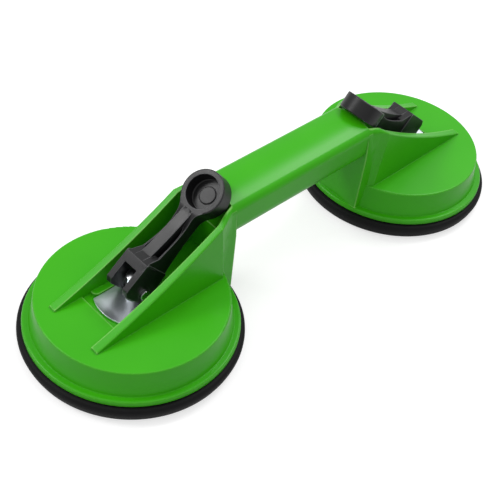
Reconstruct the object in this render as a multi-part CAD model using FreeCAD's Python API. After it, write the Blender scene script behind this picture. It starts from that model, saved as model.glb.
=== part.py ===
import FreeCAD, Part
import math
import os

from FreeCAD import Vector

# Floor tile suction lifter with two cups: one moulded housing and grip, and at each end a rubber
# pad drawn up by a stud, a cross pin and a cam lever.
# Millimetres. X runs along the grip, Z is up, and the origin is on the floor midway between the
# cups. Each end is first modelled with its cup's axis at X = 0 and the grip towards +X.

# ---- overall ------------------------------------------------------------------------------------
cup_pitch = 213.0            # between the two cup axes
seat_gap = 0.3               # between a rubber pad and what presses on it

# ---- rubber pad ---------------------------------------------------------------------------------
pad_r = 60.6                 # at its widest, part of the way up
pad_foot_r = 58.4            # on the floor
pad_wide_z = 6.0
pad_rim_h = 9.3              # height of the rim under the housing's lip
pad_rim_in = 50.5            # inner radius of the rim's flat top
pad_rim_round = 1.6
pad_web_t = 4.0              # flexing web between the rim and the hub
pad_dish = 1.0               # hollow under the web, above the floor
pad_hub_r = 28.0
pad_hub_h = 8.6

# ---- backing disc and draw stud -----------------------------------------------------------------
disc_r = 23.0
disc_t = 2.0
disc_z = 4.0                 # underside of the disc, inside the rubber
disc_skin = 0.1              # between steel and rubber
stud_r = 4.1
stud_collar_r = 7.0
stud_collar_t = 2.2
stud_spigot_r = 3.0
rivet_head_r = 5.2
rivet_head_t = 0.8
stud_eye_r = 8.5             # from the pin's axis to the domed end

# ---- cross pin ----------------------------------------------------------------------------------
pin_r = 2.9
pin_half = 10.0
pin_chamfer = 0.5
pin_press = 0.01             # pin in the stud
pin_run = 0.05               # lever on the pin

# ---- housing: the cap over each pad -------------------------------------------------------------
lip_r = 57.75
lip_h = 3.4
lip_round = 1.3
skirt_r = 54.0               # where the skirt stands on the lip
skirt_bend_r = 52.5          # above this bend the skirt is steeper
skirt_bend_z = 18.5
top_r = 51.3                 # at the top plate
top_z = 28.0
top_round = 0.8
top_t = 3.0
skirt_t = 2.6
guide_r = 8.5                # boss under the top plate that guides the stud
guide_len = 8.0
guide_run = 0.1
rib_count = 8
rib_t = 2.0
rib_h = 7.0
rib_foot = 9.0               # the ribs' lower edge stops this far inside the top plate's edge

# ---- housing: the cheeks on either side of the lever --------------------------------------------
cheek_out = 20.1             # half width over the cheeks, at their foot
cheek_in = 15.0              # half width of the channel between them, at its floor
cheek_draft_deg = 0.9        # both sides of a cheek's wall, so that it thins upwards
cheek_end = 38.5             # outer end, from the cup's axis
cheek_end_h = 1.0            # height of that end above the top plate
cheek_round = 0.8            # outer corner of the rim
rim_r = 370.0                # the rim rises in one hollow arc
rim_end_u = 41.1             # where the arc ends and the cheeks start to close in
rim_end_z = 66.0
rim_end_lean = 0.11          # that edge leans towards the grip on its way down

# ---- housing: the neck between the cheeks and the grip ------------------------------------------
close_len = 5.2              # the cheeks close in over this length
neck_lean = 0.034
neck_root_half = 17.2
neck_half_low = 17.0
neck_half = 16.5
neck_bend_z = 51.0           # above this the neck narrows to the grip
neck_round = 2.5
flat_crown_r = 2000.0        # the cheeks' rims are all but flat across
nose_len = 3.0               # from the top of the rise to the web's outer face
nose_lean = 0.012
web_t = 3.5

# ---- housing: the pocket of the wear plate ------------------------------------------------------
plate_t = 1.2
pocket_end = 21.5
rail_gap = 0.4
rail_proud = 0.4
rail_out = 16.0
rail_in = 13.0
rail_round = 3.0

# ---- wear plate ---------------------------------------------------------------------------------
plate_half = 10.6
plate_tip = 20.3
plate_inner = 12.5
plate_tip_r = 22.0
plate_flat = 14.8            # beyond this the tip curls up
plate_curl_r = 20.0
plate_hole_gap = 0.5

# ---- grip ---------------------------------------------------------------------------------------
grip_half = 15.0
grip_top = 72.5
grip_crown_r = 35.0
grip_low = 46.8
grip_round_top = 5.0
grip_round_low = 10.0
grip_wall = 3.0
bore_lap = 0.5               # the bore runs this far into the channel

# ---- cam lever ----------------------------------------------------------------------------------
lever_rest_deg = 40.0        # slope of the lever at rest, ring up against the grip
lever_turn_deg = 140.0       # from there until its face lies on the wear plate
cam_low = 7.5                # from the pin down to the plate at rest
cam_high = 13.5              # the same with the lever over
cam_run = 0.05               # between the cam and the plate
ear_half = 7.9
slot_half = 4.5
slot_floor = 9.3             # from the pin
block_s = 13.7               # ridge at the head of the block
block_step = 0.8             # the arm starts this much inside the block's sides
heel_deg = 50.0              # round heel under the ears, before the cam begins
shoulder_s = 19.4            # where the arm's rails begin
shoulder_h = 6.4
arm_s = 37.5                 # the arm's waist
arm_h = 2.3                  # front of the rails there
arm_half = 5.4
arm_mid_half = 5.95          # half way between the block and the waist
panel_half = 3.2             # straight panel that stands proud down the middle of the arm
panel_s = 17.5
panel_h = 9.3
panel_waist_h = 5.3
rail_wall = 0.9              # rails that follow the arm's outline
groove_half = 5.6            # outer side of the grooves at the shoulder
groove_d = 3.0
groove_end = 39.5
groove_round = 3.0
arm_mark_s = 46.0            # round mark of an ejector pin
arm_mark_r = 2.2
arm_mark_d = 0.2
ring_blend_r = 9.0
ring_s = 59.5
ring_r = 12.3
ring_h = 4.1                 # front face of the ring above the pin
ring_t = 9.6
back_s = 16.0                # the flat back runs from the ring to here
ring_edge = 0.6
bowl_r = 9.5
bowl_draft = 0.5
bowl_d = 7.0
button_r = 4.7
button_h = 0.7
back_pocket_d = 3.2
back_pocket_half = 3.4
lever_rest_gap = 0.3         # between the resting lever and the grip's roof

# ---- places that follow from the sizes ----------------------------------------------------------
lip_z = pad_rim_h + seat_gap
foot_z = lip_z + lip_h       # where the cheeks and the neck stand on the lip
pocket_z = top_z - plate_t
pin_z = top_z + cam_run + cam_low
cam_rate = (cam_high - cam_low) / math.radians(lever_turn_deg)
under_z = top_z - top_t
draft = math.tan(math.radians(cheek_draft_deg))
rest = math.radians(lever_rest_deg)
mouth_u = ((grip_top - pin_z) * math.cos(rest) - ring_h + ring_t + lever_rest_gap) / math.sin(rest)
rim_chord = Vector(rim_end_u + cheek_end, 0, rim_end_z - top_z - cheek_end_h)
rim_slope = math.tan(math.atan2(rim_chord.z, rim_chord.x) + math.asin(rim_chord.Length / 2 / rim_r))
neck_u = rim_end_u + close_len
neck_top = rim_end_z + close_len * rim_slope
rise_u = neck_u + (grip_top - neck_top) / rim_slope


def rounded(points, place):
    """Closed wire through (u, v, corner radius) points, each corner rounded by a tangent arc."""
    corners = []
    for i, (bu, bv, r) in enumerate(points):
        a, c = points[i - 1], points[(i + 1) % len(points)]
        b = FreeCAD.Vector(bu, bv, 0)
        to_a = (Vector(a[0], a[1], 0) - b).normalize()
        to_c = (Vector(c[0], c[1], 0) - b).normalize()
        if r <= 0:
            corners.append((b, None, b))
            continue
        half = to_a.getAngle(to_c) / 2
        inwards = (to_a + to_c).normalize()
        centre = b + inwards * (r / math.sin(half))
        reach = r / math.tan(half)
        corners.append((b + to_a * reach, centre - inwards * r, b + to_c * reach))
    edges = []
    for i, (start, mid, end) in enumerate(corners):
        if mid is not None:
            edges.append(Part.Arc(place(start), place(mid), place(end)).toShape())
        nxt = corners[(i + 1) % len(corners)][0]
        if (nxt - end).Length > 1e-6:
            edges.append(Part.makeLine(place(end), place(nxt)))
    return Part.Wire(edges)


def across_y(points, half, start=None):
    """Prism with an outline in (x, z), from y = start (or -half) to y = half."""
    low = -half if start is None else start
    face = Part.Face(rounded(points, lambda p: Vector(p.x, low, p.y)))
    return face.extrude(Vector(0, half - low, 0))


def along_x(points, start, end):
    """Prism with an outline in (y, z)."""
    face = Part.Face(rounded(points, lambda p: Vector(start, p.x, p.y)))
    return face.extrude(Vector(end - start, 0, 0))


def upright(points, low, high):
    """Prism with an outline in (x, y) between two heights."""
    face = Part.Face(rounded(points, lambda p: Vector(p.x, p.y, low)))
    return face.extrude(Vector(0, 0, high - low))


def turned(points):
    """Solid of revolution about Z from an outline in (radius, z)."""
    face = Part.Face(rounded(points, lambda p: Vector(p.x, 0, p.y)))
    return face.revolve(Vector(0, 0, 0), Vector(0, 0, 1), 360)


def block(x0, x1, y0, y1, z0, z1):
    return Part.makeBox(x1 - x0, y1 - y0, z1 - z0, Vector(x0, y0, z0))


# ---- housing ------------------------------------------------------------------------------------
def cap_outside():
    return turned([(0, lip_z, 0), (lip_r, lip_z, lip_round / 2), (lip_r, lip_z + lip_h, lip_round),
                   (skirt_r, lip_z + lip_h, 0), (skirt_bend_r, skirt_bend_z, 0),
                   (top_r, top_z, top_round), (0, top_z, 0)])


def cap_inside():
    step = skirt_r - skirt_t
    return turned([(0, lip_z - 1, 0), (step, lip_z - 1, 0), (step, lip_z + lip_h, 0),
                   (skirt_bend_r - skirt_t, skirt_bend_z, 0), (top_r - skirt_t, under_z, 1.5),
                   (0, under_z, 0)])


def cheek_side(z):
    """Half width over the cheeks at a height."""
    return cheek_out - (z - foot_z) * draft


def channel_side(z):
    """Half width of the channel between them at a height."""
    return cheek_in + (z - top_z) * draft


def cheeks_outside():
    """Solid over both cheeks and the channel, from the outer end to the closing edge."""
    end, top = Vector(-cheek_end, 0, top_z + cheek_end_h), Vector(rim_end_u, 0, rim_end_z)
    foot = Vector(rim_end_u + (rim_end_z - foot_z) * rim_end_lean, 0, foot_z)
    far = Vector(-cheek_end, 0, foot_z)
    normal = Vector(-rim_chord.z, 0, rim_chord.x).normalize()
    sag = rim_r - math.sqrt(rim_r ** 2 - rim_chord.Length ** 2 / 4)
    rim = Part.Arc(end, (end + top) * 0.5 - normal * sag, top).toShape()
    wire = Part.Wire([Part.makeLine(foot, top), rim, Part.makeLine(end, far), Part.makeLine(far, foot)])
    face = Part.Face(wire)
    face.translate(Vector(0, -cheek_out - 1, 0))
    body = face.extrude(Vector(0, 2 * cheek_out + 2, 0))
    low, high = foot_z - 1, rim_end_z + 1
    body = body.common(along_x([(-cheek_side(low), low, 0), (cheek_side(low), low, 0),
                                (cheek_side(high), high, 0), (-cheek_side(high), high, 0)],
                               -cheek_end - 1, foot.x + 1))
    corners = [e for e in body.Edges if e.BoundBox.XLength > rim_chord.x - 1 and e.BoundBox.ZLength > 1]
    return body.makeFillet(cheek_round, corners)


def arch_top(half, top, crown_r, corner_r, place):
    """Edges over a section: corner arc, crown and corner arc, and the height where they start."""
    cy = half - corner_r
    cz = top - crown_r + math.sqrt((crown_r - corner_r) ** 2 - cy ** 2)
    end = math.pi / 2 - math.asin(cy / (crown_r - corner_r))

    def on_corner(side, a):
        return place(Vector(side * (cy + corner_r * math.cos(a)), cz + corner_r * math.sin(a), 0))

    return [Part.Arc(on_corner(1, 0), on_corner(1, end / 2), on_corner(1, end)).toShape(),
            Part.Arc(on_corner(1, end), place(Vector(0, top, 0)), on_corner(-1, end)).toShape(),
            Part.Arc(on_corner(-1, end), on_corner(-1, end / 2), on_corner(-1, 0)).toShape()], cz


def grip_section(inset, x):
    """Wire of the grip's section, crowned on top, drawn in by an even inset."""
    def at(p):
        return Vector(x, p.x, p.y)

    half, low, r = grip_half - inset, grip_low + inset, grip_round_low - inset
    over, flank_z = arch_top(half, grip_top - inset, grip_crown_r - inset, grip_round_top - inset * 0.6, at)
    k = r * (1 - math.sqrt(0.5))
    under = [Part.makeLine(at(Vector(-half, flank_z, 0)), at(Vector(-half, low + r, 0))),
             Part.Arc(at(Vector(-half, low + r, 0)), at(Vector(-half + k, low + k, 0)),
                      at(Vector(-half + r, low, 0))).toShape(),
             Part.makeLine(at(Vector(-half + r, low, 0)), at(Vector(half - r, low, 0))),
             Part.Arc(at(Vector(half - r, low, 0)), at(Vector(half - k, low + k, 0)),
                      at(Vector(half, low + r, 0))).toShape(),
             Part.makeLine(at(Vector(half, low + r, 0)), at(Vector(half, flank_z, 0)))]
    return Part.Wire(over + under)


def neck_section(half_top, half_bend, half_low, top, crown_r, corner_r, place):
    """Wire of an upright section of the neck, with a bend in its flanks."""
    over, flank_z = arch_top(half_top, top, crown_r, corner_r, place)
    points = [(-half_top, flank_z), (-half_bend, neck_bend_z), (-half_low, foot_z),
              (half_low, foot_z), (half_bend, neck_bend_z), (half_top, flank_z)]
    corners = [place(Vector(y, z, 0)) for y, z in points]
    return Part.Wire(over + [Part.makeLine(a, b) for a, b in zip(corners, corners[1:])])


def neck_outside():
    """The neck: ruled from the cheeks to its root, then to the grip, and on to the web's face."""
    def closing(p):
        return Vector(rim_end_u + (rim_end_z - p.y) * rim_end_lean, p.x, p.y)

    def root(p):
        return Vector(neck_u + (neck_top - p.y) * neck_lean, p.x, p.y)

    def face(p):
        return Vector(rise_u + nose_len + (grip_top - p.y) * nose_lean, p.x, p.y)

    sections = [neck_section(cheek_side(rim_end_z), cheek_side(neck_bend_z), cheek_side(foot_z),
                             rim_end_z, flat_crown_r, cheek_round, closing),
                neck_section(neck_root_half, neck_half, neck_root_half, neck_top, flat_crown_r,
                             neck_round, root),
                neck_section(grip_half, neck_half, neck_half_low, grip_top, grip_crown_r,
                             grip_round_top, lambda p: Vector(rise_u, p.x, p.y))]
    body = Part.makeLoft(sections, True, True)
    # beyond the rise the flanks run on into the grip
    flank_z = arch_top(grip_half, grip_top, grip_crown_r, grip_round_top, root)[1]
    inside_z = flank_z + 2
    inside = grip_half - (neck_half - grip_half) * 2 / (flank_z - neck_bend_z)
    nose = [(-neck_half_low, foot_z, 0), (neck_half_low, foot_z, 0), (neck_half, neck_bend_z, 0),
            (inside, inside_z, 0), (-inside, inside_z, 0), (-neck_half, neck_bend_z, 0)]
    return body.fuse(Part.makeLoft([rounded(nose, lambda p: Vector(rise_u, p.x, p.y)),
                                    rounded(nose, face)], True, True))


def channel():
    """What the lever swings in: open above, with a floor level with the pocket of the plate."""
    mouth, over = grip_half - grip_wall, grip_top + 20
    web_in = rise_u + nose_len - web_t
    bore_low = grip_low + grip_wall

    def section(low, high):
        return [(-low, top_z, 0), (low, top_z, 0), (high, over, 0), (-high, over, 0)]

    wide = section(channel_side(top_z), channel_side(over))
    straight = along_x(wide, -cheek_end - 6, rim_end_u)
    run = Part.makeLoft([rounded(wide, lambda p: Vector(rim_end_u, p.x, p.y)),
                         rounded(section(mouth, mouth), lambda p: Vector(mouth_u, p.x, p.y))], True, True)
    run = run.cut(block(web_in, mouth_u + 1, -cheek_in, cheek_in, 0, bore_low))
    at_web = cheek_in + (mouth - cheek_in) * (web_in - rim_end_u) / (mouth_u - rim_end_u)
    pocket = upright([(-pocket_end, -cheek_in, 0), (rim_end_u, -cheek_in, 0), (web_in, -at_web, 0),
                      (web_in, at_web, 0), (rim_end_u, cheek_in, 0), (-pocket_end, cheek_in, 0)],
                     pocket_z, top_z + 1)
    return straight.fuse([run, pocket])


def plate_rails():
    inner = plate_half + rail_gap
    rails = []
    for side in (-1, 1):
        rails.append(upright([(-rail_out, side * (cheek_in + 1), 0), (-rail_out, side * inner, rail_round),
                              (rail_in, side * inner, rail_round), (rail_in, side * (cheek_in + 1), 0)],
                             pocket_z - 0.5, top_z + rail_proud))
    return rails


def under_ribs():
    """Guide boss and radial ribs under the top plate."""
    parts = [Part.makeCylinder(guide_r, guide_len + 0.5, Vector(0, 0, under_z - guide_len))]
    for i in range(rib_count):
        rib = across_y([(guide_r - 1, under_z + 0.5, 0), (guide_r - 1, under_z - rib_h, 0),
                        (top_r - rib_foot, under_z - rib_h, 6), (top_r - 2, under_z - 2, 0),
                        (top_r - 2, under_z + 0.5, 0)], rib_t / 2)
        rib.rotate(Vector(0, 0, 0), Vector(0, 0, 1), (i + 0.5) * 360.0 / rib_count)
        parts.append(rib)
    return parts


def housing():
    """Each end is made with its half of the grip, and the two are joined at mid length."""
    middle = cup_pitch / 2
    grip = Part.Face(grip_section(0, rise_u)).extrude(Vector(middle - rise_u, 0, 0))
    bore_u = mouth_u - bore_lap
    bore = Part.Face(grip_section(grip_wall, bore_u)).extrude(Vector(middle - bore_u, 0, 0))
    end = cap_outside().fuse([cheeks_outside(), neck_outside(), grip])
    end = end.cut([channel(), bore]).fuse(plate_rails())
    end = end.cut(cap_inside()).fuse(under_ribs())
    end = end.cut(Part.makeCylinder(stud_r + guide_run, top_z + 2, Vector(0, 0, 0)))
    end = place(end, "left")
    return end.fuse(end.mirror(Vector(0, 0, 0), Vector(1, 0, 0))).removeSplitter()


# ---- rubber pad, disc, stud and pin -------------------------------------------------------------
def stud():
    """Riveted into the disc below, guided by the housing, and drilled across for the pin."""
    base = disc_z + disc_t
    dome_z = pin_z + math.sqrt(stud_eye_r ** 2 - stud_r ** 2)
    edges = [(0, disc_z - rivet_head_t), (rivet_head_r, disc_z - rivet_head_t), (rivet_head_r, disc_z),
             (stud_spigot_r, disc_z), (stud_spigot_r, base), (stud_collar_r, base),
             (stud_collar_r, base + stud_collar_t), (stud_r, base + stud_collar_t), (stud_r, dome_z)]
    pts = [Vector(r, 0, z) for r, z in edges]
    lines = [Part.makeLine(a, b) for a, b in zip(pts, pts[1:])]
    half = math.asin(stud_r / stud_eye_r) / 2
    mid = Vector(stud_eye_r * math.sin(half), 0, pin_z + stud_eye_r * math.cos(half))
    crown = Vector(0, 0, pin_z + stud_eye_r)
    lines += [Part.Arc(pts[-1], mid, crown).toShape(), Part.makeLine(crown, pts[0])]
    body = Part.Face(Part.Wire(lines)).revolve(Vector(0, 0, 0), Vector(0, 0, 1), 360)
    return body.cut(cross_hole(pin_r + pin_press))


def cross_hole(r):
    return Part.makeCylinder(r, 80, Vector(0, -40, pin_z), Vector(0, 1, 0))


def disc():
    ring = turned([(stud_spigot_r, disc_z, 0), (disc_r, disc_z, 0.5), (disc_r, disc_z + disc_t, 0.5),
                   (stud_spigot_r, disc_z + disc_t, 0)])
    return ring


def pad():
    """Rubber disc with a thick rim, a thin web and a hub moulded round the steel disc."""
    outside = turned([(0, pad_dish, 0), (pad_rim_in - 4, pad_dish, 2), (pad_rim_in, 0, 2),
                      (pad_foot_r, 0, 1.0), (pad_r, pad_wide_z, 3), (pad_r - 0.4, pad_rim_h, pad_rim_round),
                      (pad_rim_in, pad_rim_h, 1), (pad_rim_in - 5, pad_dish + pad_web_t, 3),
                      (pad_hub_r + 4, pad_dish + pad_web_t, 3), (pad_hub_r, pad_hub_h, 1),
                      (0, pad_hub_h, 0)])
    gap = disc_skin
    base = disc_z + disc_t
    hollow = turned([(0, disc_z - rivet_head_t - gap, 0),
                     (rivet_head_r + gap, disc_z - rivet_head_t - gap, 0),
                     (rivet_head_r + gap, disc_z - gap, 0), (disc_r + gap, disc_z - gap, 0.5),
                     (disc_r + gap, base + gap, 0.5), (stud_collar_r + gap, base + gap, 0),
                     (stud_collar_r + gap, pad_hub_h + 1, 0), (0, pad_hub_h + 1, 0)])
    return outside.cut(hollow)


def pin():
    body = Part.makeCylinder(pin_r, 2 * pin_half, Vector(0, -pin_half, pin_z), Vector(0, 1, 0))
    rims = [e for e in body.Edges if len(e.Vertexes) == 1]
    return body.makeChamfer(pin_chamfer, rims)


# ---- wear plate ---------------------------------------------------------------------------------
def wear_plate():
    """Flat stamping with a rounded tip that curls up clear of the lever's face."""
    bottom = pocket_z
    turn = math.asin((plate_tip + 1 - plate_flat) / plate_curl_r)

    def curl(r, a):
        return Vector(-plate_flat - r * math.sin(a), -plate_half, bottom + plate_curl_r - r * math.cos(a))

    r_low, r_top = plate_curl_r, plate_curl_r - plate_t
    inner = [Vector(plate_inner, -plate_half, bottom), Vector(plate_inner, -plate_half, bottom + plate_t)]
    strip = Part.Wire([
        Part.makeLine(inner[0], curl(r_low, 0)),
        Part.Arc(curl(r_low, 0), curl(r_low, turn / 2), curl(r_low, turn)).toShape(),
        Part.makeLine(curl(r_low, turn), curl(r_top, turn)),
        Part.Arc(curl(r_top, turn), curl(r_top, turn / 2), curl(r_top, 0)).toShape(),
        Part.makeLine(curl(r_top, 0), inner[1]),
        Part.makeLine(inner[1], inner[0])])
    body = Part.Face(strip).extrude(Vector(0, 2 * plate_half, 0))
    back = plate_tip_r - math.sqrt(plate_tip_r ** 2 - plate_half ** 2)
    tip = Part.Arc(Vector(-plate_tip + back, -plate_half, 0), Vector(-plate_tip, 0, 0),
                   Vector(-plate_tip + back, plate_half, 0)).toShape()
    a, b = Vector(-plate_tip + back, plate_half, 0), Vector(plate_inner, plate_half, 0)
    c, d = Vector(plate_inner, -plate_half, 0), Vector(-plate_tip + back, -plate_half, 0)
    plan = Part.Face(Part.Wire([tip, Part.makeLine(a, b), Part.makeLine(b, c), Part.makeLine(c, d)]))
    plan.translate(Vector(0, 0, bottom - 2))
    body = body.common(plan.extrude(Vector(0, 0, 10)))
    return body.cut(Part.makeCylinder(stud_r + plate_hole_gap, 20, Vector(0, 0, bottom - 5)))


# ---- cam lever ----------------------------------------------------------------------------------
# Modelled lying along +X with the pin at the origin and its front face up (+Z), then turned.
def cam_point(turn):
    """Point of the cam that bears on the plate after a turn: an involute, so that the stud rises
    evenly with the lever."""
    a = math.radians(270 - lever_rest_deg) - turn
    reach = cam_low + cam_rate * turn
    return Vector(reach * math.cos(a) + cam_rate * math.sin(a), 0,
                  reach * math.sin(a) - cam_rate * math.cos(a))


def lever_side():
    """Outline of the lever from the side."""
    full = math.radians(lever_turn_deg)
    steps = 14
    cam = Part.BSplineCurve()
    cam.interpolate([cam_point(full * i / steps) for i in range(steps + 1)])
    low = math.radians(270 - lever_rest_deg)
    heel = low + math.radians(heel_deg)

    def on_heel(a):
        return Vector(cam_low * math.cos(a), 0, cam_low * math.sin(a))

    ridge = Vector(block_s, 0, cam_high)
    panel = Vector(panel_s, 0, panel_h)
    ring_start = Vector(ring_s - ring_r + 1, 0, ring_h)
    ring_end = Vector(ring_s, 0, ring_h)
    back = ring_h - ring_t
    top = Part.BSplineCurve()
    top.interpolate([panel, Vector(arm_s, 0, panel_waist_h), ring_start])
    p = [ring_end, Vector(ring_s, 0, back), Vector(back_s, 0, back), on_heel(heel)]
    return Part.Wire([
        Part.makeLine(cam_point(full), ridge), Part.makeLine(ridge, panel), top.toShape(),
        Part.makeLine(ring_start, p[0]), Part.makeLine(p[0], p[1]), Part.makeLine(p[1], p[2]),
        Part.makeLine(p[2], p[3]),
        Part.Arc(p[3], on_heel((heel + low) / 2), on_heel(low)).toShape(),
        Part.makeLine(on_heel(low), cam_point(0)), cam.toShape()])


def over_rails():
    """What is cleared away above the rails, either side of the panel."""
    ridge, shoulder = Vector(block_s, 0, cam_high), Vector(shoulder_s, 0, shoulder_h)
    ring_start = Vector(ring_s - ring_r + 1, 0, ring_h)
    front = Part.BSplineCurve()
    front.interpolate(Points=[shoulder, Vector(arm_s, 0, arm_h), ring_start],
                      Tangents=[Vector(1, 0, -0.35), Vector(1, 0, 0), Vector(1, 0, 0.1)],
                      TangentFlags=[True, True, True])
    over_ring, over_ridge = ring_start + Vector(0, 0, 20), ridge + Vector(0, 0, 20)
    wire = Part.Wire([Part.makeLine(ridge, shoulder), front.toShape(),
                      Part.makeLine(ring_start, over_ring), Part.makeLine(over_ring, over_ridge),
                      Part.makeLine(over_ridge, ridge)])
    face = Part.Face(wire)
    face.translate(Vector(0, panel_half, 0))
    near = face.extrude(Vector(0, ring_r, 0))
    return near.fuse(near.mirror(Vector(0, 0, 0), Vector(0, 1, 0)))


def lever_plan():
    """Outline of the lever from the front: block, waisted arm and the run into the ring."""
    waist_end = ring_s - math.sqrt((ring_r + ring_blend_r) ** 2 - (arm_half + ring_blend_r) ** 2)
    k = ring_r / (ring_r + ring_blend_r)
    touch = Vector(ring_s - (ring_s - waist_end) * k, (arm_half + ring_blend_r) * k, 0)
    tail_s, head_s = -cam_high - 4, block_s + block_step
    step = Vector(head_s, ear_half - block_step, 0)
    mid = Vector((head_s + arm_s) / 2, arm_mid_half, 0)
    waist = Vector(arm_s, arm_half, 0)
    neck = Vector(waist_end, arm_half, 0)
    toward = (touch + neck) * 0.5
    centre = Vector(waist_end, arm_half + ring_blend_r, 0)
    bulge = (toward - centre).normalize() * ring_blend_r + centre

    def edges(sign):
        def m(v):
            return Vector(v.x, v.y * sign, 0)
        run = Part.BSplineCurve()
        run.interpolate(Points=[m(step), m(mid), m(waist)])
        return [Part.makeLine(m(Vector(tail_s, ear_half, 0)), m(Vector(head_s, ear_half, 0))),
                Part.makeLine(m(Vector(head_s, ear_half, 0)), m(step)), run.toShape(),
                Part.makeLine(m(waist), m(neck)),
                Part.Arc(m(neck), m(bulge), m(touch)).toShape(),
                Part.makeLine(m(touch), Vector(ring_s, m(touch).y, 0))]

    right, left = edges(1), edges(-1)
    ends = [Part.makeLine(Vector(tail_s, -ear_half, 0), Vector(tail_s, ear_half, 0)),
            Part.makeLine(Vector(ring_s, -touch.y, 0), Vector(ring_s, touch.y, 0))]
    wire = Part.Wire(Part.__sortEdges__(right + left + ends))
    face = Part.Face(wire)
    face.translate(Vector(0, 0, -20))
    return face.extrude(Vector(0, 0, 45))


def lever():
    face = Part.Face(lever_side())
    face.translate(Vector(0, -ring_r, 0))
    body = face.extrude(Vector(0, 2 * ring_r, 0)).common(lever_plan())
    back = ring_h - ring_t
    ring = turned([(0, back, 0), (ring_r, back, ring_edge), (ring_r, ring_h, ring_edge), (0, ring_h, 0)])
    ring.translate(Vector(ring_s, 0, 0))
    bowl = turned([(0, ring_h - bowl_d, 0), (bowl_r - bowl_draft, ring_h - bowl_d, 0.6),
                   (bowl_r, ring_h + 1, 0), (0, ring_h + 1, 0)])
    button = turned([(0, ring_h - bowl_d - 0.5, 0), (button_r, ring_h - bowl_d - 0.5, 0),
                     (button_r, ring_h - bowl_d + button_h, 0.3), (0, ring_h - bowl_d + button_h, 0)])
    bowl.translate(Vector(ring_s, 0, 0))
    button.translate(Vector(ring_s, 0, 0))
    body = body.fuse(ring).cut(bowl).fuse(button)
    body = body.cut(over_rails())
    # grooves between the arm's rails and its middle panel
    for side in (-1, 1):
        groove = [(shoulder_s, side * panel_half, 0), (shoulder_s, side * groove_half, 0),
                  (arm_s - 2, side * (arm_half - rail_wall), groove_round),
                  (groove_end, side * panel_half, 0)]
        body = body.cut(upright(groove, arm_h - groove_d, cam_high))
    mark = Part.makeCylinder(arm_mark_r, 5, Vector(arm_mark_s, 0, ring_h - 0.5))
    body = body.fuse(mark.common(block(0, ring_s, -ring_r, ring_r, 0, ring_h + arm_mark_d)))
    # hollow in the back of the arm
    hollow = upright([(block_s + 4, -back_pocket_half, 1.5), (ring_s - ring_r - 1, -back_pocket_half, 1.5),
                      (ring_s - ring_r - 1, back_pocket_half, 1.5), (block_s + 4, back_pocket_half, 1.5)],
                     back - 1, back + back_pocket_d)
    body = body.cut(hollow)
    # slot between the ears, and the pin's hole
    body = body.cut(block(-cam_high - 10, slot_floor, -slot_half, slot_half, -30, 30))
    body = body.cut(Part.makeCylinder(pin_r + pin_run, 80, Vector(0, -40, 0), Vector(0, 1, 0)))
    body.rotate(Vector(0, 0, 0), Vector(0, 1, 0), -lever_rest_deg)
    body.translate(Vector(0, 0, pin_z))
    return body


# ---- placing and writing ------------------------------------------------------------------------
def place(shape, side):
    out = shape.copy()
    out.translate(Vector(-cup_pitch / 2, 0, 0))
    return out if side == "left" else out.mirror(Vector(0, 0, 0), Vector(1, 0, 0))


def single(shape):
    """The one solid of a boolean result."""
    solids = shape.Solids
    assert len(solids) == 1, len(solids)
    return solids[0]


os.makedirs("parts", exist_ok=True)
nodes = {"housing": single(housing())}
pieces = {"pad": pad(), "disc": disc(), "stud": stud(), "pin": pin(), "plate": wear_plate(), "lever": lever()}
for side in ("left", "right"):
    for name, shape in pieces.items():
        nodes[side + "_" + name] = place(single(shape), side)
for name, shape in nodes.items():
    solid = single(shape)
    box = solid.BoundBox
    print("%-12s %9.1f mm3  x %.2f..%.2f  y %.2f..%.2f  z %.2f..%.2f  valid %s" % (
        name, solid.Volume, box.XMin, box.XMax, box.YMin, box.YMax, box.ZMin, box.ZMax, solid.isValid()))
    solid.exportStep("parts/" + name + ".step")
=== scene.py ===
# %% [markdown]
# A floor tile suction lifter: one green housing that joins two caps and a grip, and under each cap a
# black rubber pad that a cam lever draws up by its middle. The rigid pieces come from the CAD model
# as a fixed frame. This file gives them their finishes, models the two rubber pads and the squared
# ends of the levers, and sets up the floor, the light and the camera.

# %% Load the frame
import math
import bpy
from mathutils import Matrix, Vector


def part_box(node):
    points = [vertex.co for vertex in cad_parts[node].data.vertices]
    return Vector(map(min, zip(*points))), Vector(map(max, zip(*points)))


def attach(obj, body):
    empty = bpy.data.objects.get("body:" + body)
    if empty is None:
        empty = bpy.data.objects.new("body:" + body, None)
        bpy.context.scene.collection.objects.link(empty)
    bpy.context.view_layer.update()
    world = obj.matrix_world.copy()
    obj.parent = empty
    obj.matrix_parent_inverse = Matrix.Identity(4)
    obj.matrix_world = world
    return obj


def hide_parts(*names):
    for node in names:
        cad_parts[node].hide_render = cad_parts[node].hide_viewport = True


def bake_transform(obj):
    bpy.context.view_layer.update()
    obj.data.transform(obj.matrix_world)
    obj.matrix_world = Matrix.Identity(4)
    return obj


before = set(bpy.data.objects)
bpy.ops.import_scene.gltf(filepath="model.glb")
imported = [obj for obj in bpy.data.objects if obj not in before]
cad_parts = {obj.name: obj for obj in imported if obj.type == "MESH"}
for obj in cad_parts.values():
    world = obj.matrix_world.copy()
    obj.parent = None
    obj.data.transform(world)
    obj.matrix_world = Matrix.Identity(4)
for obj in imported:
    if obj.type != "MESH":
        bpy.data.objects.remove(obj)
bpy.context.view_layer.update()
MM = 0.001
AXIS = {}
for side in ("left", "right"):
    low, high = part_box(side + "_pad")
    AXIS[side] = (low.x + high.x) / 2 / MM
print("cup axes at x =", {k: round(v, 2) for k, v in AXIS.items()}, "mm")
print("CAD nodes:", sorted(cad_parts))

# %% [markdown]
# Every colour in this file is written as an sRGB hex value, as a paint chart gives it, and shaders
# work in linear light, so one function converts them. A second small function adds a node, sets its
# plain settings and links its inputs, and every material below is made with it.

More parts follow.
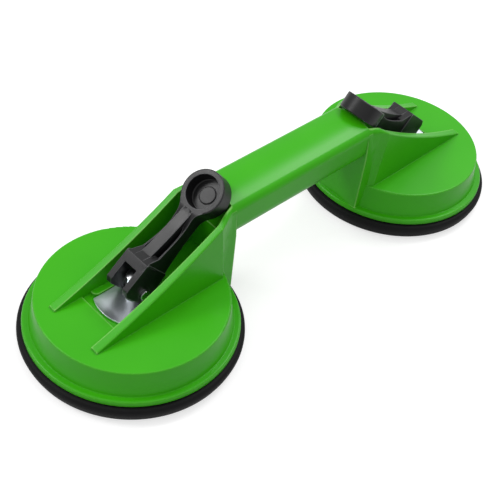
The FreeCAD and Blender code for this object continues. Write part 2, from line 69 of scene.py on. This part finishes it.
# %% Colour and node helpers
def linear(hex_value):
    """sRGB hex to linear RGBA."""
    parts = [int(hex_value[i:i + 2], 16) / 255 for i in (1, 3, 5)]
    return tuple(c / 12.92 if c <= 0.04045 else ((c + 0.055) / 1.055) ** 2.4 for c in parts) + (1.0,)


def add(tree, kind, settings=None, **inputs):
    """Adds a node; inputs are values, or (node, output name) pairs to link. Spaces are written _."""
    new = tree.nodes.new(kind)
    for key, value in (settings or {}).items():
        setattr(new, key, value)
    for key, value in inputs.items():
        socket = new.inputs[key.replace("_", " ")]
        if isinstance(value, tuple) and len(value) == 2 and hasattr(value[0], "outputs"):
            tree.links.new(value[0].outputs[value[1]], socket)
        else:
            socket.default_value = value
    return new


def ramp(node, stops):
    """Puts (position, sRGB hex) stops on a colour ramp."""
    points = node.color_ramp.elements
    while len(points) < len(stops):
        points.new(0.5)
    for point, (position, shade) in zip(points, stops):
        point.position = position
        point.color = linear(shade)
    return node


def begin(name):
    """A material with an output and nothing else yet."""
    made = bpy.data.materials.new(name)
    made.use_nodes = True
    made.node_tree.nodes.clear()
    tree = made.node_tree
    return made, tree, tree.nodes.new("ShaderNodeOutputMaterial")


print("green ABS in linear light:", [round(c, 3) for c in linear("#3BB109")[:3]])

# %% [markdown]
# The housing is moulded ABS, coloured right through. Its tool was polished, so the skin is smooth and
# half glossy, with the faint waviness that shrinking plastic leaves over ribs and thick places, a few
# centimetres from crest to crest, and a very fine orange-peel of about half a millimetre. Moulded
# edges are never knife sharp: a Bevel node rounds them by 0.8 mm in the shading alone. A paler green is
# painted along outward edges and narrow rims, a painted highlight for the sheen they catch.

# %% Moulded green ABS
FACE_LIGHT, EDGE_LIGHT = 0.86, 0.42     # occlusion inside the wall at an open face, and at a full edge


# The mask below marks outward edges; the materials mix a painted highlight into the colour there.
def soft_edges(tree, radius_mm, reach_mm):
    """A Bevel node for the normal, and a mask that is 1 on outward edges and 0 on open faces.
    Occlusion is traced inside the wall, so that only edges that stick out are found."""
    eased = add(tree, "ShaderNodeBevel", {"samples": 6}, Radius=radius_mm * MM)
    within = add(tree, "ShaderNodeAmbientOcclusion", {"samples": 8, "inside": True, "only_local": True},
                 Distance=reach_mm * MM)
    edge = add(tree, "ShaderNodeMapRange", Value=(within, "AO"), From_Min=FACE_LIGHT, From_Max=EDGE_LIGHT)
    return eased, edge


def moulded_abs():
    made, tree, out = begin("moulded green ABS")
    where = add(tree, "ShaderNodeTexCoord")
    drift = add(tree, "ShaderNodeTexNoise", Vector=(where, "Object"), Scale=28.0, Detail=2.0)
    tone = ramp(add(tree, "ShaderNodeValToRGB", Fac=(drift, "Fac")), [(0.3, "#39AE08"), (0.7, "#3DB30A")])
    eased, edge = soft_edges(tree, 0.8, 1.3)
    # Painted highlight: a paler green mixed into the colour along outward edges and narrow rims.
    painted_edge_highlight = add(tree, "ShaderNodeMix", {"data_type": "RGBA"})
    tree.links.new(edge.outputs["Result"], painted_edge_highlight.inputs["Factor"])
    tree.links.new(tone.outputs["Color"], painted_edge_highlight.inputs["A"])
    painted_edge_highlight.inputs["B"].default_value = linear("#8EDC6A")
    wave = add(tree, "ShaderNodeTexNoise", Vector=(where, "Object"), Scale=45.0, Detail=1.0)
    peel = add(tree, "ShaderNodeTexNoise", Vector=(where, "Object"), Scale=1600.0, Detail=2.0)
    bump = add(tree, "ShaderNodeBump", Strength=0.25, Distance=0.0004, Height=(wave, "Fac"),
               Normal=(eased, "Normal"))
    skin = add(tree, "ShaderNodeBump", Strength=0.10, Distance=0.00003, Height=(peel, "Fac"),
               Normal=(bump, "Normal"))
    rough = add(tree, "ShaderNodeMapRange", Value=(drift, "Fac"), To_Min=0.28, To_Max=0.36)
    shader = add(tree, "ShaderNodeBsdfPrincipled", Base_Color=(painted_edge_highlight, "Result"), Roughness=(rough, "Result"),
                 IOR=1.50, Normal=(skin, "Normal"))
    shader.inputs["Specular IOR Level"].default_value = 0.25
    tree.links.new(shader.outputs["BSDF"], out.inputs["Surface"])
    return made


green_abs = moulded_abs()
print("made", green_abs.name)

# %% [markdown]
# The levers are glass-filled nylon or a similar black plastic. The tool's surface was spark-eroded
# and lightly blasted, so the skin is a dull satin with grain a few tenths of a millimetre across.

# %% Moulded black plastic
def black_plastic():
    made, tree, out = begin("moulded black nylon")
    where = add(tree, "ShaderNodeTexCoord")
    cloud = add(tree, "ShaderNodeTexNoise", Vector=(where, "Object"), Scale=120.0, Detail=3.0)
    tone = ramp(add(tree, "ShaderNodeValToRGB", Fac=(cloud, "Fac")), [(0.3, "#111113"), (0.7, "#18181A")])
    grain = add(tree, "ShaderNodeTexNoise", Vector=(where, "Object"), Scale=2600.0, Detail=2.0)
    eased, edge = soft_edges(tree, 0.7, 0.6)
    # Painted highlight: a pale grey mixed into the colour along outward edges.
    painted_edge_highlight = add(tree, "ShaderNodeMix", {"data_type": "RGBA"})
    tree.links.new(edge.outputs["Result"], painted_edge_highlight.inputs["Factor"])
    tree.links.new(tone.outputs["Color"], painted_edge_highlight.inputs["A"])
    painted_edge_highlight.inputs["B"].default_value = linear("#77777A")
    skin = add(tree, "ShaderNodeBump", Strength=0.35, Distance=0.00006, Height=(grain, "Fac"),
               Normal=(eased, "Normal"))
    rough = add(tree, "ShaderNodeMapRange", Value=(cloud, "Fac"), To_Min=0.30, To_Max=0.42)
    shader = add(tree, "ShaderNodeBsdfPrincipled", Base_Color=(painted_edge_highlight, "Result"), Roughness=(rough, "Result"),
                 IOR=1.53, Normal=(skin, "Normal"))
    shader.inputs["Specular IOR Level"].default_value = 0.36
    tree.links.new(shader.outputs["BSDF"], out.inputs["Surface"])
    return made


lever_plastic = black_plastic()
print("made", lever_plastic.name)

# %% [markdown]
# The pads are moulded rubber, near black and dull, with a fine powdery bloom that lightens it here
# and there in patches a centimetre or two wide.

# %% Moulded rubber
def moulded_rubber():
    made, tree, out = begin("moulded black rubber")
    where = add(tree, "ShaderNodeTexCoord")
    bloom = add(tree, "ShaderNodeTexNoise", Vector=(where, "Object"), Scale=70.0, Detail=5.0, Roughness=0.6)
    tone = ramp(add(tree, "ShaderNodeValToRGB", Fac=(bloom, "Fac")), [(0.35, "#0B0B0C"), (0.75, "#141416")])
    grain = add(tree, "ShaderNodeTexNoise", Vector=(where, "Object"), Scale=1800.0, Detail=3.0)
    skin = add(tree, "ShaderNodeBump", Strength=0.3, Distance=0.00005, Height=(grain, "Fac"))
    rough = add(tree, "ShaderNodeMapRange", Value=(bloom, "Fac"), To_Min=0.52, To_Max=0.68)
    shader = add(tree, "ShaderNodeBsdfPrincipled", Base_Color=(tone, "Color"), Roughness=(rough, "Result"),
                 IOR=1.52, Normal=(skin, "Normal"))
    shader.inputs["Specular IOR Level"].default_value = 0.15
    tree.links.new(shader.outputs["BSDF"], out.inputs["Surface"])
    return made


pad_rubber = moulded_rubber()
print("made", pad_rubber.name)

# %% [markdown]
# Three kinds of steel show. The wear plate is a bright zinc-plated stamping, rubbed by the cam. The
# stud is turned, with fine rings round its axis, and the cross pin is ground bar, with the marks of
# the wheel running round it. All are the same metal, so one function makes them, given the axis that
# the tool marks run round and how coarse they are.

# %% Bright steels
def bright_steel(name, shade, rough_low, rough_high, stretch, depth):
    made, tree, out = begin(name)
    where = add(tree, "ShaderNodeTexCoord")
    along = add(tree, "ShaderNodeMapping", Vector=(where, "Object"), Scale=stretch)
    marks = add(tree, "ShaderNodeTexNoise", Vector=(along, "Vector"), Scale=1000.0, Detail=3.0)
    smear = add(tree, "ShaderNodeTexNoise", Vector=(where, "Object"), Scale=160.0, Detail=4.0)
    eased = add(tree, "ShaderNodeBevel", {"samples": 6}, Radius=0.4 * MM)
    skin = add(tree, "ShaderNodeBump", Strength=0.3, Distance=depth, Height=(marks, "Fac"),
               Normal=(eased, "Normal"))
    rough = add(tree, "ShaderNodeMapRange", Value=(smear, "Fac"), To_Min=rough_low, To_Max=rough_high)
    shader = add(tree, "ShaderNodeBsdfPrincipled", Base_Color=linear(shade), Metallic=1.0,
                 Roughness=(rough, "Result"), Normal=(skin, "Normal"))
    tree.links.new(shader.outputs["BSDF"], out.inputs["Surface"])
    return made


zinc_plate = bright_steel("zinc-plated stamped steel", "#E6ECF4", 0.30, 0.38, (1, 1, 1), 0.00002)
turned_steel = bright_steel("turned steel", "#D3D5D7", 0.24, 0.34, (0.1, 0.1, 3), 0.00002)
ground_steel = bright_steel("ground steel bar", "#C4C7C9", 0.15, 0.25, (0.1, 3, 0.1), 0.00002)
print("made", zinc_plate.name, turned_steel.name, ground_steel.name)

# %% [markdown]
# A CAD node arrives as loose triangles. Its mesh stays as it is: a weld, a split at sharp edges and
# weighted normals are added as modifiers, so that round places shade smoothly and flat ones stay flat.

# %% Finishes on the CAD nodes
FINISH = {"housing": green_abs, "lever": lever_plastic, "plate": zinc_plate, "stud": turned_steel,
          "pin": ground_steel, "disc": turned_steel, "pad": pad_rubber}


def crisp(piece):
    """Smooth shading that stops at sharp edges."""
    piece.data.polygons.foreach_set("use_smooth", [True] * len(piece.data.polygons))
    weld = piece.modifiers.new("weld", "WELD")
    weld.merge_threshold = 2e-6
    split = piece.modifiers.new("sharp edges", "EDGE_SPLIT")
    split.split_angle = math.radians(32)
    flat = piece.modifiers.new("flat faces stay flat", "WEIGHTED_NORMAL")
    flat.keep_sharp = True


def dress(name, node):
    node.data.materials.clear()
    node.data.materials.append(FINISH[name.split("_")[-1]])
    crisp(node)


for name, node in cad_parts.items():
    dress(name, node)
print("dressed", len(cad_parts), "nodes")

# %% [markdown]
# Each lever ends in a block with a slot down its middle, which leaves two ears either side of the
# stud. The CAD ears follow a smooth cam, so that the stud rises evenly with the lever; the real ones
# are cut short and square just past the pin, with a chamfer at the toe. So the lever is shown by two
# pieces. The first is a copy of the CAD lever with its ears cut back, to a little inside the block
# that follows: copied triangles are merged first, and two bisects take off the cam's end.

# %% Lever coordinates
SLOPE = math.radians(40)
PIN = {}
for side in ("left", "right"):
    low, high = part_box(side + "_pin")
    PIN[side] = (low + high) / 2
print("pins at", {k: tuple(round(c / MM, 2) for c in v) for k, v in PIN.items()}, "mm")


def from_pin(side, along, up):
    """A point of the lever's own frame (mm along the lever and above its axis) in the object's."""
    way = 1 if side == "left" else -1
    x = along * math.cos(SLOPE) - up * math.sin(SLOPE)
    z = along * math.sin(SLOPE) + up * math.cos(SLOPE)
    return Vector((PIN[side].x + way * x * MM, 0, PIN[side].z + z * MM))


# %% The lever's arm and ring
EAR_CUTS = (((-5.4, -9), (-5.4, 9)), ((-5.5, 10.5), (-3.0, 13.0)))     # lines in mm along and above
IN_THE_LEVER = (10, 5)                                               # a point on the side that stays


def lever_arm(side):
    bpy.ops.object.select_all(action="DESELECT")
    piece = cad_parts[side + "_lever"].copy()
    piece.data = piece.data.copy()
    piece.modifiers.clear()
    piece.name = side + "_lever_arm"
    bpy.context.collection.objects.link(piece)
    piece.select_set(True)
    bpy.context.view_layer.objects.active = piece
    bpy.ops.object.mode_set(mode="EDIT")
    bpy.ops.mesh.select_all(action="SELECT")
    bpy.ops.mesh.remove_doubles(threshold=0.000002)
    inside = from_pin(side, *IN_THE_LEVER)
    for a, b in EAR_CUTS:
        start, end = from_pin(side, *a), from_pin(side, *b)
        out = (end - start).cross(Vector((0, 1, 0))).normalized()
        if out.dot(inside - start) > 0:
            out.negate()
        bpy.ops.mesh.select_all(action="SELECT")
        bpy.ops.mesh.bisect(plane_co=start, plane_no=out, use_fill=True, clear_outer=True)
    bpy.ops.object.mode_set(mode="OBJECT")
    crisp(piece)
    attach(piece, side + "_lever")
    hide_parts(side + "_lever")
    print(piece.name, len(piece.data.polygons), "faces")
    return piece


arms = {side: lever_arm(side) for side in AXIS}

# %% [markdown]
# The second piece is the squared block, whose faces stand a little outside the copy's. It starts as a
# cube with the pin's axis at the origin and the lever lying along X. Three bisects take off its
# corners, two more let its sides run into the copy's without a step, and booleans take out the slot,
# the pin's hole and the little round mark that an ejector pin leaves on the front. Then it is turned
# to the lever's slope and moved to the pin.

# %% The lever's block
BLOCK_LOW, BLOCK_HIGH = Vector((-5.6, -7.95, -6.2)) * MM, Vector((13.8, 7.95, 13.53)) * MM
TOE = ((-5.6, 10.9), (-3.1, 13.53))          # corners that are cut off, as lines in mm
HEEL = ((-3.0, -6.2), (-5.6, -4.5))
ROOT = ((13.8, 4.0), (4.0, -6.2))
DIP_START = (13.08, 4.69)                    # a millimetre inside the root's line
DIP_SLOPE = (0.127, -0.122)                  # ten degrees, square to that line
SLOT_END, SLOT_HALF = 8.2, 4.47
PIN_HOLE = 6.0
MARK, MARK_WIDE, MARK_DEEP = (10.9, -6.1), 2.6, 0.45
EASED = 0.3


def cut_corner(a, b):
    """Takes off what lies left of the line from a to b, both (along, up) in mm."""
    line = Vector((b[0] - a[0], 0, b[1] - a[1])).normalized()
    bpy.ops.mesh.select_all(action="SELECT")
    bpy.ops.mesh.bisect(plane_co=(a[0] * MM, 0, a[1] * MM), plane_no=(-line.z, 0, line.x),
                        use_fill=True, clear_outer=True)


def dip_in(start, face):
    """Past a line parallel to the last corner's cut, a side dips gently into the copy's own side."""
    bpy.ops.mesh.select_all(action="SELECT")
    bpy.ops.mesh.bisect(plane_co=(start[0] * MM, face * BLOCK_HIGH.y, start[1] * MM),
                        plane_no=(DIP_SLOPE[0], face, DIP_SLOPE[1]), use_fill=True, clear_outer=True)


def cutter(kind, place, size, turn=(0, 0, 0)):
    """A cube or cylinder to take out of the block."""
    bpy.ops.object.select_all(action="DESELECT")
    if kind == "cube":
        bpy.ops.mesh.primitive_cube_add(size=1, location=place)
    else:
        bpy.ops.mesh.primitive_cylinder_add(vertices=48, radius=0.5, depth=1, location=place)
    tool = bpy.context.object
    tool.rotation_euler = turn
    tool.scale = size
    bpy.ops.object.transform_apply(location=True, rotation=True, scale=True)
    return tool


def take_out(piece, tool):
    gap = piece.modifiers.new("cut", "BOOLEAN")
    gap.operation = "DIFFERENCE"
    gap.solver = "EXACT"
    gap.object = tool
    bpy.context.view_layer.objects.active = piece
    bpy.ops.object.modifier_apply(modifier=gap.name)
    bpy.data.objects.remove(tool)


def lever_block():
    bpy.ops.object.select_all(action="DESELECT")
    bpy.ops.mesh.primitive_cube_add(size=1, location=(BLOCK_LOW + BLOCK_HIGH) / 2)
    piece = bpy.context.object
    piece.scale = BLOCK_HIGH - BLOCK_LOW
    bpy.ops.object.transform_apply(location=True, rotation=True, scale=True)
    bpy.ops.object.mode_set(mode="EDIT")
    for line in (TOE, HEEL, ROOT):
        cut_corner(*line)
    for face in (1, -1):
        dip_in(DIP_START, face)
    bpy.ops.object.mode_set(mode="OBJECT")
    wide, deep, through = 42, 60, 40     # large enough to cut right through
    take_out(piece, cutter("cube", Vector((SLOT_END - wide / 2, 0, 4)) * MM,
                           Vector((wide, 2 * SLOT_HALF, deep)) * MM))
    take_out(piece, cutter("cylinder", (0, 0, 0), Vector((PIN_HOLE, PIN_HOLE, through)) * MM,
                           (math.radians(90), 0, 0)))
    take_out(piece, cutter("cylinder", (MARK[0] * MM, MARK[1] * MM, BLOCK_HIGH.z),
                           Vector((MARK_WIDE, MARK_WIDE, 2 * MARK_DEEP)) * MM))
    eased = piece.modifiers.new("eased edges", "BEVEL")
    eased.width = EASED * MM
    eased.segments = 2
    eased.limit_method = "ANGLE"
    eased.angle_limit = math.radians(35)
    bpy.context.view_layer.objects.active = piece
    bpy.ops.object.modifier_apply(modifier=eased.name)
    return piece


def set_block(piece, side):
    piece.name = side + "_lever_block"
    bpy.ops.object.select_all(action="DESELECT")
    piece.select_set(True)
    bpy.context.view_layer.objects.active = piece
    piece.rotation_euler = (0, -SLOPE, 0)
    bpy.ops.object.transform_apply(location=True, rotation=True, scale=True)
    piece.rotation_euler = (0, 0, 0 if side == "left" else math.pi)
    piece.location = PIN[side]
    bpy.ops.object.transform_apply(location=True, rotation=True, scale=True)
    piece.data.materials.append(lever_plastic)
    crisp(piece)
    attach(piece, side + "_lever")
    print(piece.name, len(piece.data.vertices), "vertices")


first_block = lever_block()
second_block = first_block.copy()
second_block.data = first_block.data.copy()
bpy.context.collection.objects.link(second_block)
set_block(first_block, "left")
set_block(second_block, "right")

# %% [markdown]
# The rubber pad is one moulding: a thick rim that carries the sealing face, and a thin web that
# rises a little towards a hub round the steel disc. When the lever draws the stud up, the rim stays
# down and the hub goes up. Both are bodies of revolution, so an outline is swept round as rings: a
# circle is added, and each next ring is extruded from it and scaled about the cup's axis.

# %% Rings round a cup's axis
def rings(name, axis_x, outline, corners=144):
    """Closed turned solid: outline is (radius, height) points in mm, going once round the section."""
    bpy.ops.object.select_all(action="DESELECT")
    first_r, first_z = outline[0]
    bpy.ops.mesh.primitive_circle_add(vertices=corners, radius=first_r * MM,
                                      location=(axis_x * MM, 0, first_z * MM))
    piece = bpy.context.object
    piece.name = name
    bpy.ops.object.mode_set(mode="EDIT")
    bpy.ops.mesh.select_all(action="SELECT")
    was_r, was_z = outline[0]
    for r, z in outline[1:] + outline[:1]:
        bpy.ops.mesh.extrude_region_move(TRANSFORM_OT_translate={"value": (0, 0, (z - was_z) * MM)})
        k = r / was_r
        bpy.ops.transform.resize(value=(k, k, 1), center_override=(axis_x * MM, 0, z * MM))
        was_r, was_z = r, z
    bpy.ops.mesh.select_all(action="SELECT")
    bpy.ops.mesh.remove_doubles(threshold=0.00001)
    bpy.ops.mesh.normals_make_consistent(inside=False)
    bpy.ops.object.mode_set(mode="OBJECT")
    bpy.ops.object.transform_apply(location=True, rotation=True, scale=True)
    return piece


print("rings() sweeps an outline of radius and height round a cup's axis")

# %% [markdown]
# The rim's section: the flat sealing face on the floor, a rounded outer corner, a flank that leans
# out as it rises and turns in again near the top, and a flat top under the housing's lip.

# %% The rims
RIM = [(50.6, 0.25), (51.6, 0.02), (57.4, 0.0), (58.3, 0.25), (58.9, 0.9), (59.5, 2.3), (60.1, 4.1),
       (60.45, 5.4), (60.5, 6.3), (60.35, 7.6), (59.8, 8.6), (58.9, 9.15), (57.6, 9.28), (52.0, 9.28),
       (50.8, 8.9), (50.5, 8.2), (50.5, 1.2)]


def pad_rim(side):
    piece = rings(side + "_pad_rim", AXIS[side], RIM)
    piece.data.materials.append(pad_rubber)
    bpy.ops.object.shade_smooth_by_angle(angle=math.radians(40))
    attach(piece, "housing")
    return piece


rims = {side: pad_rim(side) for side in AXIS}
print("rim vertices:", len(rims["left"].data.vertices))

# %% [markdown]
# The web and hub are swept as one solid. On the real pad they bend: the outer edge stays with the
# housing, and everything from a millimetre above the sealing face goes up with the stud. The underside
# rises evenly from the rim to the hub.

# %% The webs and hubs
HUB = [(50.3, 0.3), (46.0, 0.45), (42.0, 0.58), (38.0, 0.7), (34.0, 0.81), (30.0, 0.91), (26.0, 0.98),
       (20.0, 1.0), (10.0, 1.0), (0.05, 1.0), (0.05, 3.0), (5.4, 3.05), (5.4, 3.9), (23.2, 3.9),
       (23.2, 6.1), (7.3, 6.1), (7.3, 8.4), (8.2, 8.6), (27.4, 8.6), (28.3, 8.0), (30.5, 5.6),
       (33.0, 5.0), (45.0, 4.8), (50.3, 4.4)]


def pad_hub(side):
    piece = rings(side + "_pad_hub", AXIS[side], HUB)
    piece.data.materials.append(pad_rubber)
    bpy.ops.object.shade_smooth_by_angle(angle=math.radians(40))
    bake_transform(piece)
    return piece


hubs = {side: pad_hub(side) for side in AXIS}
for side in AXIS:
    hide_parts(side + "_pad")
print("hub vertices:", len(hubs["left"].data.vertices))

# %% [markdown]
# The floor is a plain pale sheet. It shows as white to the camera, and about half as strongly in
# reflections, and still takes the object's shadow, because only part of its brightness is its own.

# %% Floor
def shown(tree, direct, mirrored):
    """A level for what the camera sees, straight or through glass, and one for what a gloss mirrors."""
    path = add(tree, "ShaderNodeLightPath")
    last = None
    rays = (("Is Transmission Ray", direct), ("Is Glossy Ray", mirrored), ("Is Camera Ray", direct))
    for ray, level in rays:
        step = add(tree, "ShaderNodeMath", {"operation": "MULTIPLY_ADD"})
        tree.links.new(path.outputs[ray], step.inputs[0])
        step.inputs[1].default_value = level
        step.inputs[2].default_value = 0.0
        if last:
            tree.links.new(last.outputs["Value"], step.inputs[2])
        last = step
    return last


bpy.ops.object.select_all(action="DESELECT")
bpy.ops.mesh.primitive_plane_add(size=8, location=(0, 0, -0.0002))
floor = bpy.context.object
floor.name = "floor"
paper, tree, out = begin("matt white paper")
sees = shown(tree, 0.62, 0.35)
matt = add(tree, "ShaderNodeBsdfDiffuse", Color=linear("#C4C4C4"))
glow = add(tree, "ShaderNodeEmission", Color=linear("#FFFFFF"), Strength=(sees, "Value"))
both = add(tree, "ShaderNodeAddShader")
tree.links.new(matt.outputs[0], both.inputs[0])
tree.links.new(glow.outputs[0], both.inputs[1])
tree.links.new(both.outputs[0], out.inputs["Surface"])
floor.data.materials.append(paper)
print("floor", tuple(floor.dimensions))

# %% [markdown]
# The light is a white tent: a soft sky that is brightest overhead and falls off towards the horizon,
# so that upright faces come out deeper than level ones, and two softboxes. One is ahead, high over
# the far cup, and puts the long sheen on the grip's shoulder. The other is behind to the left, and
# lifts the sloping rims and the levers' fronts. The camera itself sees a white surround, and
# reflections see a third of the way towards it.

# %% Light
world = bpy.data.worlds.new("soft tent")
bpy.context.scene.world = world
world.use_nodes = True
tree = world.node_tree
sky = tree.nodes["Background"]
sky.inputs["Color"].default_value = linear("#FFFFFF")
up = add(tree, "ShaderNodeTexCoord")
height = add(tree, "ShaderNodeSeparateXYZ", Vector=(up, "Generated"))
fall = add(tree, "ShaderNodeMapRange", Value=(height, "Z"), From_Min=0.0, From_Max=1.0,
           To_Min=0.12, To_Max=0.95)
level = add(tree, "ShaderNodeMix", {"data_type": "FLOAT"})
tree.links.new(shown(tree, 1.0, 0.35).outputs["Value"], level.inputs["Factor"])
tree.links.new(fall.outputs["Result"], level.inputs["A"])
level.inputs["B"].default_value = 1.0
tree.links.new(level.outputs["Result"], sky.inputs["Strength"])


def lamp(name, at, aim, size, watts):
    light = bpy.data.lights.new(name, "AREA")
    light.shape = "RECTANGLE"
    light.size, light.size_y = size
    light.energy = watts
    holder = bpy.data.objects.new(name, light)
    bpy.context.collection.objects.link(holder)
    holder.location = at
    holder.rotation_euler = (Vector(aim) - Vector(at)).to_track_quat("-Z", "Y").to_euler()
    return holder


AIM, BOX, WATTS = (0, 0, 0.03), (0.36, 0.36), 4.2
lamp("softbox ahead", (0.73, 0.05, 0.98), AIM, BOX, WATTS)
lamp("softbox behind", (-0.60, 0.62, 0.90), AIM, BOX, WATTS)

# %% [markdown]
# The camera stands in front of the left cup and looks down along the grip at 45 degrees, turned a
# little about its own axis.

# %% Camera
def stand(azimuth, elevation, roll):
    a, e, r = (math.radians(v) for v in (azimuth, elevation, roll))
    right = Vector((math.cos(a), math.sin(a), 0))
    back = Vector((math.sin(a) * math.cos(e), -math.cos(a) * math.cos(e), math.sin(e)))
    up = back.cross(right)
    turned_right = right * math.cos(r) + up * math.sin(r)
    turned_up = up * math.cos(r) - right * math.sin(r)
    return Matrix((turned_right, turned_up, back)).transposed().to_4x4()


EYE = (-0.33066, -0.26329, 0.41395)
AZIMUTH, ELEVATION, ROLL = -49.766, 44.944, 8.774
eye = bpy.data.cameras.new("camera")
eye.sensor_width = 36
FOCAL, IMAGE_SIDE = 992.5, 500          # both in picture units, for a square picture
eye.lens = FOCAL / IMAGE_SIDE * eye.sensor_width
camera = bpy.data.objects.new("camera", eye)
bpy.context.collection.objects.link(camera)
camera.matrix_world = Matrix.Translation(EYE) @ stand(AZIMUTH, ELEVATION, ROLL)
bpy.context.scene.camera = camera
bpy.context.scene.view_settings.view_transform = "Standard"
print("lens", round(eye.lens, 2), "mm")
